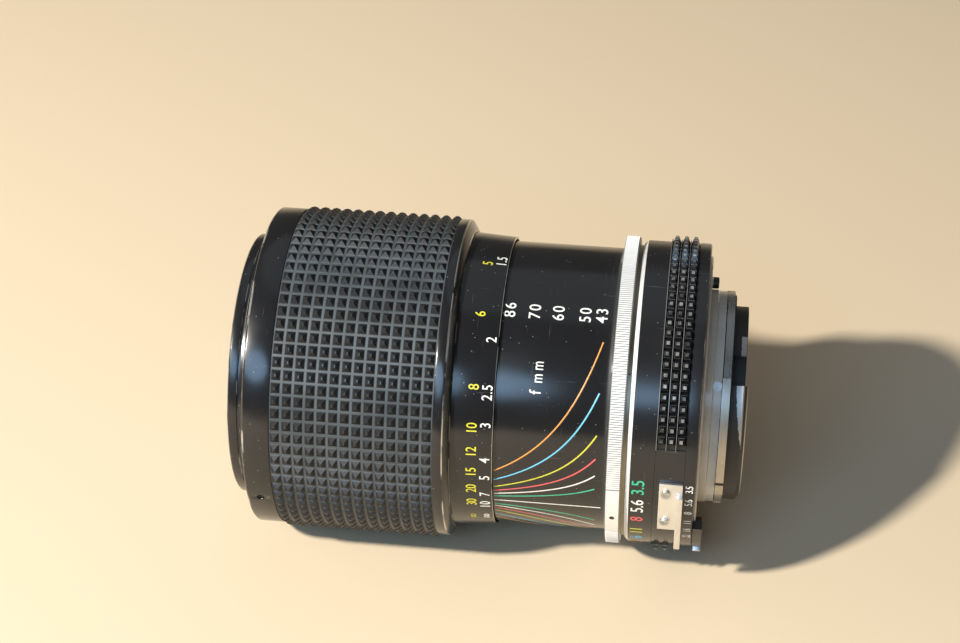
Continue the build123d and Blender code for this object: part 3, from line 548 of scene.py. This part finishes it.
# ---- Knurled ring ----------------------------------------------------------------
# A satin-plated ring that the lens is gripped by to mount it.  Fine straight teeth
# are rolled round it, but for a plain land with a black dot in line with the index.
KNURL_R = 31.85
RING_REAR = -15.2
TEETH = 400
PLAIN_TEETH = 30
KNURL_DEPTH = 0.24
ring = turned(
    "knurled_grip_ring",
    [
        (RING_FRONT, 28.0), (RING_REAR, 28.0), (RING_REAR, KNURL_R - KNURL_DEPTH),
        (RING_FRONT, KNURL_R - KNURL_DEPTH),
    ],
    0.06,
)
knurl = bmesh.new()
knurl.from_mesh(ring.data)
middle = (RING_FRONT + RING_REAR) / 2
tooth = bmesh.ops.create_cube(knurl, size=MM)["verts"]
tooth_edges = list({edge for corner in tooth for edge in corner.link_edges})
pitch = 2 * pi * KNURL_R / TEETH
bmesh.ops.scale(knurl, verts=tooth, vec=(RING_REAR - RING_FRONT - 0.1, 2 * KNURL_DEPTH, pitch))
outer = [corner for corner in tooth if corner.co.y > 0]
bmesh.ops.scale(knurl, verts=outer, vec=(0.93, 1, 0.55))
bmesh.ops.translate(knurl, verts=tooth, vec=(middle * MM, (KNURL_R - KNURL_DEPTH) * MM, 0))
first = radians(INDEX) + 2 * pi * (PLAIN_TEETH / 2 - 4) / TEETH
bmesh.ops.rotate(knurl, verts=tooth, cent=(0, 0, 0), matrix=Matrix.Rotation(first, 3, "X"))
faces = list({face for corner in tooth for face in corner.link_faces})
bmesh.ops.spin(
    knurl, geom=tooth + tooth_edges + faces, cent=(0, 0, 0), axis=(1, 0, 0), dvec=(0, 0, 0),
    angle=2 * pi * (TEETH - PLAIN_TEETH) / TEETH, steps=TEETH - PLAIN_TEETH, use_duplicate=True,
)
bpy.data.objects.remove(ring)
ring = settled("knurled_grip_ring", knurl, 20)
SATIN_PLATE = worn_metal("satin_plate", (0.97, 0.97, 0.96), 0.55, brushed=0.3, grime=0.05)
SATIN_PLATE.node_tree.nodes["Principled BSDF"].inputs["Metallic"].default_value = 0.45
radius = along(SATIN_PLATE)[1]
# Painted shade: the valleys between the teeth are coloured dark grey.
valley_shade = mapped(SATIN_PLATE, radius, KNURL_R - 0.9 * KNURL_DEPTH, KNURL_R - 0.2 * KNURL_DEPTH, 0.9, 0)
valley_shade = sum_of(SATIN_PLATE, "MULTIPLY", valley_shade, mapped(SATIN_PLATE, radius, 31.3, 31.4))
lay_over(SATIN_PLATE, valley_shade, (0.20, 0.20, 0.20), metal=False)
fit(ring, SATIN_PLATE, "barrel", ["knurled_ring"])


def swept_rib(form, outline, start, sweep, steps):
    """Sweep a closed (x, radius) outline part of the way round, with closed ends."""
    corners = [form.verts.new((x * MM, radius * MM, 0)) for x, radius in outline]
    cap = form.faces.new(corners)
    bmesh.ops.rotate(form, verts=corners, cent=(0, 0, 0), matrix=Matrix.Rotation(radians(start), 3, "X"))
    bmesh.ops.spin(
        form, geom=corners + cap.edges[:] + [cap], cent=(0, 0, 0), axis=(1, 0, 0), dvec=(0, 0, 0),
        angle=radians(sweep), steps=steps,
    )


# The plain land is a raised strip flush with the teeth, and the dot is black paint.
land = bmesh.new()
tooth_angle = 360 / TEETH
swept_rib(
    land,
    [
        (RING_FRONT + 0.08, KNURL_R - KNURL_DEPTH - 0.05), (RING_REAR - 0.08, KNURL_R - KNURL_DEPTH - 0.05),
        (RING_REAR - 0.16, KNURL_R - 0.01), (RING_FRONT + 0.16, KNURL_R - 0.01),
    ],
    INDEX - (PLAIN_TEETH / 2 + 3) * tooth_angle, (PLAIN_TEETH - 2) * tooth_angle, 24,
)
fit(settled("knurl_land", land), SATIN_PLATE, "barrel")


def painted_dot(name, x, clock, radius, size, finish, body):
    """A small round spot of paint."""
    form = bmesh.new()
    bmesh.ops.create_cone(
        form, cap_ends=True, segments=24, radius1=size * MM, radius2=size * MM, depth=0.05 * MM,
    )
    laid_round(form, x, clock, radius)
    return fit(settled(name, form), finish, body)


BLACK_PAINT = paint("black_paint", (0.012, 0.012, 0.012))
painted_dot("mounting_dot", middle, INDEX - 1.5, KNURL_R, 0.52, BLACK_PAINT, "barrel")
painted_dot("housing_dot", sum(THIN_RING) / 2, 136.7, THIN_RING_R, 0.22, BLACK_PAINT, "barrel")

# ---- Aperture ring ---------------------------------------------------------------
# Black anodised alloy with a bare front chamfer.  Three rows of pointed teeth are
# milled round it, except where the coupling fork is screwed down.
APERTURE_FRONT = -14.3
APERTURE_REAR = -0.45
APERTURE_R = 31.2
SKIRT_R = 31.3
TOOTH_R = 32.5
VALLEY_R = 31.0
RIB_R = 31.75
TOOTH_PITCH = 1.92
TOOTH_COLUMNS = (-7.7, -5.78, -3.86)
ROW_ANGLE = 3.82
BARE_START = -34.5       # degrees from the index
BARE_SWEEP = 60.0
groove_front = TOOTH_COLUMNS[0] - TOOTH_PITCH / 2
groove_rear = TOOTH_COLUMNS[2] + TOOTH_PITCH / 2
ring_profile = [
    (APERTURE_FRONT, 28.0), (-3.0, 28.0), (-3.0, 29.2), (APERTURE_REAR, 29.2),
    (APERTURE_REAR, SKIRT_R - 0.35), (APERTURE_REAR - 0.2, SKIRT_R - 0.05), (APERTURE_REAR - 0.5, SKIRT_R),
    (groove_rear + 0.1, SKIRT_R), (groove_rear, VALLEY_R), (groove_front, VALLEY_R),
    (groove_front - 0.1, APERTURE_R), (APERTURE_FRONT + 0.85, APERTURE_R),
    (APERTURE_FRONT, APERTURE_R - 0.75),
]
base = turned("aperture_base", ring_profile)
form = bmesh.new()
form.from_mesh(base.data)
bpy.data.objects.remove(base)
rows = int((360 - BARE_SWEEP) / ROW_ANGLE)
row = []
for x in TOOTH_COLUMNS:
    point = bmesh.ops.create_cube(form, size=MM)["verts"]
    bmesh.ops.scale(form, verts=point, vec=(TOOTH_PITCH, 1.6, ROW_ANGLE * pi / 180 * TOOTH_R))
    bmesh.ops.translate(form, verts=point, vec=(x * MM, (TOOTH_R - 0.8) * MM, 0))
    top = [corner for corner in point if corner.co.y > TOOTH_R * MM - 0.1 * MM]
    bmesh.ops.scale(
        form, verts=top, vec=(0.30, 1, 0.30), space=Matrix.Translation((-x * MM, 0, 0)),
    )
    row += point
bmesh.ops.rotate(
    form, verts=row, cent=(0, 0, 0),
    matrix=Matrix.Rotation(radians(INDEX + BARE_START + BARE_SWEEP + ROW_ANGLE / 2), 3, "X"),
)
edges = list({edge for corner in row for edge in corner.link_edges})
faces = list({face for corner in row for face in corner.link_faces})
bmesh.ops.spin(
    form, geom=row + edges + faces, cent=(0, 0, 0), axis=(1, 0, 0), dvec=(0, 0, 0),
    angle=radians(ROW_ANGLE) * (rows - 1), steps=rows - 1, use_duplicate=True,
)
# A thin rib runs in front of each row.  Where there are no teeth the ring is a plain
# land at full height.
bare_start = INDEX + BARE_START
for x in TOOTH_COLUMNS:
    rib = x - TOOTH_PITCH / 2
    swept_rib(
        form,
        [
            (rib - 0.13, VALLEY_R - 0.05), (rib + 0.13, VALLEY_R - 0.05),
            (rib + 0.07, RIB_R), (rib - 0.07, RIB_R),
        ],
        bare_start + BARE_SWEEP, 360 - BARE_SWEEP, 160,
    )
swept_rib(
    form,
    [
        (groove_front - 0.05, VALLEY_R - 0.05), (groove_rear + 0.05, VALLEY_R - 0.05),
        (groove_rear + 0.05, SKIRT_R), (groove_front - 0.05, APERTURE_R),
    ],
    bare_start, BARE_SWEEP, 40,
)
aperture = settled("aperture_ring_toothed", form, 25)
ring_black = enamel("ring_black", GLOSS_BLACK, 0.2, [(APERTURE_REAR, SKIRT_R, 0.25, 0.5)])
x, radius, _ = along(ring_black)
# The tooth tips and the rib tops are patched with bare metal: partly wear, partly a painted highlight.
tip_wear_and_glint = mapped(ring_black, radius, TOOTH_R - 0.16, TOOTH_R - 0.05)
patchy = mapped(ring_black, grain(ring_black, (0.5, 0.5, 0.5)), 0.42, 0.66, 0.03, 0.4)
tip_wear_and_glint = sum_of(ring_black, "MULTIPLY", tip_wear_and_glint, patchy)
# Painted highlight: the bare front chamfer is coloured near white, matt and half metallic, so it reads as
# brightly lit.
front = mapped(ring_black, x, APERTURE_FRONT + 0.85, APERTURE_FRONT + 0.8)
front = sum_of(ring_black, "MULTIPLY", front, mapped(ring_black, radius, 30.0, 30.2))
rubbed = mapped(ring_black, radius, RIB_R - 0.05, RIB_R - 0.02)
below_teeth = mapped(ring_black, radius, RIB_R + 0.02, RIB_R + 0.04, 0.2, 0)
rubbed = sum_of(ring_black, "MULTIPLY", rubbed, below_teeth)
wear_and_glint = sum_of(ring_black, "MAXIMUM", tip_wear_and_glint, rubbed)
lay_over(ring_black, wear_and_glint, (0.84, 0.84, 0.82))
lay_over(ring_black, front, (0.92, 0.92, 0.90), metal=False, rougher=0.2)
lay_over(ring_black, sum_of(ring_black, "MULTIPLY", front, 0.5), (0.92, 0.92, 0.90))
fit(aperture, ring_black, "aperture_ring", ["aperture_ring"])

# ---- Aperture numerals -----------------------------------------------------------
# The stops are engraved in their curves' colours, and repeated small in white on the
# skirt, where a finder in the camera can read them.
STOPS = {"3.5": 180.3, "5.6": 189.8, "8": 197.7, "11": 207.2, "16": 215.7, "22": 223.7}
for stop, clock in STOPS.items():
    numerals(
        f"stop_numerals_{STOP_NAMES[stop]}", [(stop, -11.75, clock)], 2.5, APERTURE_R,
        STOP_COLOURS[stop], "aperture_ring", gap=0.98,
    )
SMALL_STOPS = {"3.5": 179.3, "5.6": 185.6, "8": 191.3, "11": 197.0, "16": 202.7, "22": 208.4}
numerals(
    "finder_numerals", [(stop, -1.65, clock) for stop, clock in SMALL_STOPS.items()],
    1.5, SKIRT_R, WHITE, "aperture_ring", gap=0.9, width=0.8,
)


# ---- Coupling fork, its screws, ridge and lug ------------------------------------
# A stamped fork of satin-plated steel, held by two cross-head screws, couples the
# ring to the meter.  The black ridge and the lug at the rear edge do the same job.
def eased(node, name, rounding, crease=28.0):
    """A fixed part's own shape with its sharp edges slightly rounded."""
    form = bmesh.new()
    form.from_mesh(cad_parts[node].data)
    bmesh.ops.remove_doubles(form, verts=form.verts, dist=0.001 * MM)
    bmesh.ops.dissolve_limit(form, angle_limit=radians(0.5), verts=form.verts, edges=form.edges)
    sharp = [
        edge for edge in form.edges
        if len(edge.link_faces) == 2 and edge.calc_face_angle(0) > radians(crease)
    ]
    bmesh.ops.bevel(
        form, geom=sharp, offset=rounding * MM, offset_type="OFFSET", segments=2,
        profile=0.5, affect="EDGES", material=-1, clamp_overlap=True,
    )
    return settled(name, form)


FORK_PLATE = worn_metal("fork_plate", (0.88, 0.88, 0.87), 0.4, brushed=0.2, grime=0.2)
fit(eased("meter_fork", "coupling_fork", 0.12), FORK_PLATE, "aperture_ring", ["meter_fork"])
fit(eased("coupling_lug", "coupling_tab", 0.1), FORK_PLATE, "aperture_ring", ["coupling_lug"])
coat("fork_screws", SCREW_STEEL)
coat("coupling_ridge", housing_black)

# ---- Zoom and focus sleeve -------------------------------------------------------
# One gloss black alloy sleeve turns to focus and slides to zoom.  It has a narrow
# nose round the filter ring, a seat for the rubber, and a sloping collar behind.
SLEEVE_FRONT = -90.6
SLEEVE_R = 33.0
GRIP_FRONT = -85.05
GRIP_REAR = -52.5
GRIP_SEAT_R = 32.2
GRIP_R = 33.6
COLLAR_REAR = -50.5
BAND_FRONT = -49.2
BAND_R = 30.5
sleeve = turned(
    "focus_zoom_sleeve",
    [
        (SLEEVE_FRONT, 27.5), (-88.8, 27.5), (-88.8, 28.3), (-84.3, 28.3), (-84.3, 31.2), (-51.5, 31.2),
        (-51.5, BAND_R), (BAND_FRONT, BAND_R), (BAND_FRONT, 30.9), (COLLAR_REAR, SLEEVE_R),
        (GRIP_REAR, SLEEVE_R), (GRIP_REAR, GRIP_SEAT_R), (GRIP_FRONT, GRIP_SEAT_R),
        (GRIP_FRONT, SLEEVE_R), (SLEEVE_FRONT + 0.4, SLEEVE_R), (SLEEVE_FRONT, SLEEVE_R - 0.4),
    ],
    0.12,
)
SET_SCREW_X = -87.7
SET_SCREW_R = 0.85 * MM
for number in range(2):
    form = bmesh.new()
    bmesh.ops.create_cone(
        form, cap_ends=True, segments=32, radius1=SET_SCREW_R, radius2=SET_SCREW_R, depth=1.2 * MM,
    )
    bmesh.ops.translate(form, verts=form.verts, vec=(0, 0, SLEEVE_R * MM))
    turned_to = Matrix.Rotation(radians(INDEX - 90 + 180 * number), 3, "X")
    bmesh.ops.rotate(form, verts=form.verts, cent=(0, 0, 0), matrix=turned_to)
    bmesh.ops.translate(form, verts=form.verts, vec=(SET_SCREW_X * MM, 0, 0))
    cutter = settled("cutter", form)
    cut = sleeve.modifiers.new("set_screw_hole", "BOOLEAN")
    cut.object = cutter
    cut.solver = "EXACT"
    bpy.context.view_layer.update()
    shape = bpy.data.meshes.new_from_object(sleeve.evaluated_get(bpy.context.evaluated_depsgraph_get()))
    sleeve.modifiers.clear()
    sleeve.data = shape
    bpy.data.objects.remove(cutter)
sleeve_black = enamel(
    "sleeve_black", GLOSS_BLACK, 0.15,
    [
        (SLEEVE_FRONT + 0.2, SLEEVE_R - 0.2, 0.32, 0.55), (COLLAR_REAR, None, 0.16, 0.75),
        (BAND_FRONT - 0.05, None, 0.1, 0.5),
    ],
)
fit(sleeve, sleeve_black, "focus_sleeve", ["grip_sleeve"])
coat("sleeve_screws", POST_BLACK)

# ---- Rubber grip -----------------------------------------------------------------
# A moulded rubber sleeve stretched over its seat, with fourteen columns of square
# studs.  Pale dust lies in the channels between them.
COLUMNS = 14
STUD_ROWS = 80
CHANNEL_R = 32.75
grip = bmesh.new()
face_profile = [
    grip.verts.new(((GRIP_FRONT + (GRIP_REAR - GRIP_FRONT) * n / COLUMNS) * MM, CHANNEL_R * MM, 0))
    for n in range(COLUMNS + 1)
]
for before, after in zip(face_profile, face_profile[1:]):
    grip.edges.new((before, after))
bmesh.ops.spin(
    grip, geom=grip.verts[:] + grip.edges[:], cent=(0, 0, 0), axis=(1, 0, 0), dvec=(0, 0, 0),
    angle=2 * pi, steps=STUD_ROWS, use_merge=True,
)
bmesh.ops.remove_doubles(grip, verts=grip.verts, dist=0.001 * MM)
bmesh.ops.recalc_face_normals(grip, faces=grip.faces)
out = sum(face.normal.dot(Vector((0, *face.calc_center_median()[1:]))) for face in grip.faces)
if out < 0:
    bmesh.ops.reverse_faces(grip, faces=grip.faces)
studs = grip.faces[:]
for inward, outward in ((0.21, 0), (0.62, 0.66), (0.20, 0.17)):
    bmesh.ops.inset_individual(
        grip, faces=studs, thickness=inward * MM, depth=outward * MM, use_even_offset=True,
    )
rims = [edge for edge in grip.edges if edge.is_boundary]
wall = bmesh.ops.extrude_edge_only(grip, edges=rims)["geom"]
inner = [part for part in wall if isinstance(part, bmesh.types.BMVert)]
bmesh.ops.scale(grip, verts=inner, vec=(1, GRIP_SEAT_R / CHANNEL_R, GRIP_SEAT_R / CHANNEL_R))
rims = [edge for edge in grip.edges if edge.is_boundary]
bmesh.ops.bridge_loops(grip, edges=rims)
grip = settled("rubber_grip_studded", grip, 18)
grip_rubber = new_finish("grip_rubber", (0.02, 0.02, 0.022), 0.0, 0.5)
radius = along(grip_rubber)[1]
dusty = mapped(grip_rubber, radius, CHANNEL_R - 0.1, CHANNEL_R + 0.2, 1, 0)
patchy = mapped(grip_rubber, grain(grip_rubber, (0.15, 0.15, 0.15), detail=6), 0.3, 0.65, 0.45, 1)
dusty = sum_of(grip_rubber, "MULTIPLY", dusty, patchy)
# Painted shade: the studs' sides are coloured darker than their tops, which are also glossier.
tops = mapped(grip_rubber, radius, GRIP_R - 0.18, GRIP_R - 0.06)
skin_with_shaded_sides = blend_colours(grip_rubber, tops, (0.008, 0.009, 0.011), (0.022, 0.024, 0.027))
join(
    grip_rubber,
    Base_Color=blend_colours(grip_rubber, dusty, skin_with_shaded_sides, (0.105, 0.125, 0.137)),
    Roughness=mapped(grip_rubber, tops, 0, 1, 0.5, 0.24),
)
bump(grip_rubber, grain(grip_rubber, (4, 4, 4), detail=5), 0.02, 0.4)
fit(grip, grip_rubber, "focus_sleeve", ["rubber_grip"])

# ---- Distance band ---------------------------------------------------------------
# The distance ring is screwed into the sleeve and shows as a narrow gloss black band.
# Feet are filled in yellow and metres in white, and its rear edge is rubbed bright.
band = turned(
    "distance_band",
    [
        (-58.0, 29.6), (BAND_REAR, 29.6), (BAND_REAR, BAND_R - 0.5), (BAND_FRONT, BAND_R),
        (-51.5, BAND_R), (-51.5, 31.2), (-58.0, 31.2),
    ],
    0.07,
)
band_black = enamel("band_black", GLOSS_BLACK, 0.15, [(BAND_REAR, None, 0.13, 0.9)])
fit(band, band_black, "focus_sleeve", ["distance_ring"])


FOCUS_END = 15.7         # degrees from the index to the far end of the scale
FOCUS_TURN = 142         # degree metres: how fast the scale spreads as it gets nearer
FOCUS_OFFSET = 0.354     # metres


def clock_of(metres):
    """Where a distance stands on the ring, when the ring is at rest."""
    return INDEX + FOCUS_END - FOCUS_TURN / (metres - FOCUS_OFFSET)


FAR_END = 209.6
BAND_TAPER = 0.5 / (BAND_REAR - BAND_FRONT)
YELLOW = paint("feet_paint", (0.72, 0.66, 0.04))
FEET = (5, 6, 8, 10, 12, 15, 20, 30)
METRES = ("1.5", "2", "2.5", "3", "4", "5", "7", "10")
FOOT = 0.3048
FEET_X = -45.0
METRES_X = -42.3
numerals(
    "feet_numerals",
    [(str(feet), FEET_X, clock_of(feet * FOOT)) for feet in FEET] + [("∞", FEET_X, FAR_END)],
    2.05, BAND_R - 0.25, YELLOW, "focus_sleeve", gap=0.95, width=0.85, taper=BAND_TAPER,
)
numerals(
    "metre_numerals",
    [(text, METRES_X, clock_of(float(text))) for text in METRES] + [("∞", METRES_X, FAR_END)],
    2.05, BAND_R - 0.41, WHITE, "focus_sleeve", gap=1.08, width=0.85, taper=BAND_TAPER,
)

# ---- Filter ring -----------------------------------------------------------------
# A thin black anodised ring with a 52 mm thread cut inside for filters and a shallow
# groove outside.  Its front edge has lost its black to caps and filters.
RIM_FRONT = -94.7
RIM_R = 27.15
THREAD_R = 25.6
THREAD_PITCH = 0.75
THREAD_TOP_R = THREAD_R + 0.4
RIM_GROOVE = (-92.7, -92.1)
thread = []
for turn in range(4):
    start = RIM_FRONT + 0.45 + turn * THREAD_PITCH
    thread += [(start, THREAD_R), (start + 0.09, THREAD_R)]
    thread += [(start + 0.37, THREAD_TOP_R), (start + 0.47, THREAD_TOP_R)]
rim = turned(
    "threaded_rim",
    [(RIM_FRONT, THREAD_R + 0.3)] + thread
    + [
        (-90.9, THREAD_R), (-90.2, THREAD_R), (-90.2, 26.3), (-88.5, 26.3), (-88.5, RIM_R),
        (RIM_GROOVE[1], RIM_R), (RIM_GROOVE[1], RIM_R - 0.25), (RIM_GROOVE[0], RIM_R - 0.25),
        (RIM_GROOVE[0], RIM_R), (RIM_FRONT + 0.35, RIM_R), (RIM_FRONT, RIM_R - 0.3),
    ],
    0.04,
)
rim_black = enamel(
    "rim_black", GLOSS_BLACK, 0.16,
    [(RIM_FRONT, None, 0.22, 0.8)] + [(edge, None, 0.08, 0.4) for edge in RIM_GROOVE],
)
fit(rim, rim_black, "front_group", ["filter_ring"])

# ---- Front retainer --------------------------------------------------------------
# The sloping ring that holds the front glass, with fine grooves against glare.  Its
# face carries no lettering.
grooves = []
for number in range(13):
    reach = 22.3 + number * 0.19
    slope = -90.6 - 0.5 * (reach - 21.9) / 3.65
    grooves += [(slope, reach), (slope + 0.09, reach + 0.1)]
retainer = turned(
    "front_retainer",
    [(-90.2, 21.9), (-90.2, 25.55), (-91.1, 25.55), (-91.02, 24.95)] + grooves[::-1] + [(-90.6, 21.9)],
)
fit(retainer, INNER_BLACK, "front_group", ["name_ring"])
coat("front_cell", INNER_BLACK)

# ---- Front glasses ---------------------------------------------------------------
# Three elements in the front cell.  The coating turns their reflections violet and
# amber, and there is a trace of dust on the first.
FRONT_GLASS = coated_glass("front_glass", (0.97, 0.96, 0.99), 200.0)
INNER_GLASS = coated_glass("inner_glass", (0.98, 0.97, 0.93), 270.0)
coat("front_element", FRONT_GLASS)
coat("second_element", INNER_GLASS)
coat("third_element", INNER_GLASS)

# ---- Floor, light and camera -----------------------------------------------------
# A plain pale floor that the grip rests on, a soft key light from the viewer's left,
# cool panels at the side, overhead and in front, and a camera looking down on the side.
floor_form = bmesh.new()
bmesh.ops.create_grid(floor_form, x_segments=1, y_segments=1, size=4)
bmesh.ops.translate(floor_form, verts=floor_form.verts, vec=(0, 0, -GRIP_R * MM))
floor = settled("floor", floor_form)
floor_finish = new_finish("pale_floor", (0.75, 0.61, 0.43), 0.0, 0.75)
floor.data.materials.append(floor_finish)

middle = Vector((-0.045, 0, 0))
for name, towards, away, width, height, power, colour in (
    ("key", (-0.57, -0.51, 0.64), 1.1, 0.07, 0.07, 20, (1.0, 0.95, 0.86)),
    ("side_panel", (-0.20, -0.80, 0.56), 0.9, 0.56, 0.34, 2.6, (0.42, 0.68, 1.0)),
    ("overhead", (0.10, 0.42, 0.90), 0.9, 0.9, 0.9, 0.5, (0.82, 0.90, 1.0)),
    ("front_fill", (-0.95, -0.1, 0.35), 1.0, 0.5, 0.5, 1.2, (0.92, 0.95, 1.0)),
):
    lamp = bpy.data.lights.new(name, "AREA")
    lamp.shape = "ELLIPSE"
    lamp.size = width
    lamp.size_y = height
    lamp.energy = power
    lamp.color = colour
    stand = bpy.data.objects.new(name, lamp)
    direction = Vector(towards).normalized()
    stand.location = middle + direction * away
    stand.rotation_euler = direction.to_track_quat("Z", "Y").to_euler()
    bpy.context.scene.collection.objects.link(stand)

world = bpy.data.worlds.new("studio")
world.use_nodes = True
world.node_tree.nodes["Background"].inputs[0].default_value = (0.96, 0.88, 0.78, 1)
world.node_tree.nodes["Background"].inputs[1].default_value = 0.10
bpy.context.scene.world = world
bpy.context.scene.view_settings.view_transform = "Standard"

lens = bpy.data.cameras.new("viewer")
lens.lens = 85.125
lens.sensor_width = 36
lens.clip_end = 20
viewer = bpy.data.objects.new("viewer", lens)
viewer.location = (-0.00175, -0.37408, 0.28906)
viewer.rotation_euler = (radians(53.94), 0, radians(6.86))
bpy.context.scene.collection.objects.link(viewer)
bpy.context.scene.camera = viewer
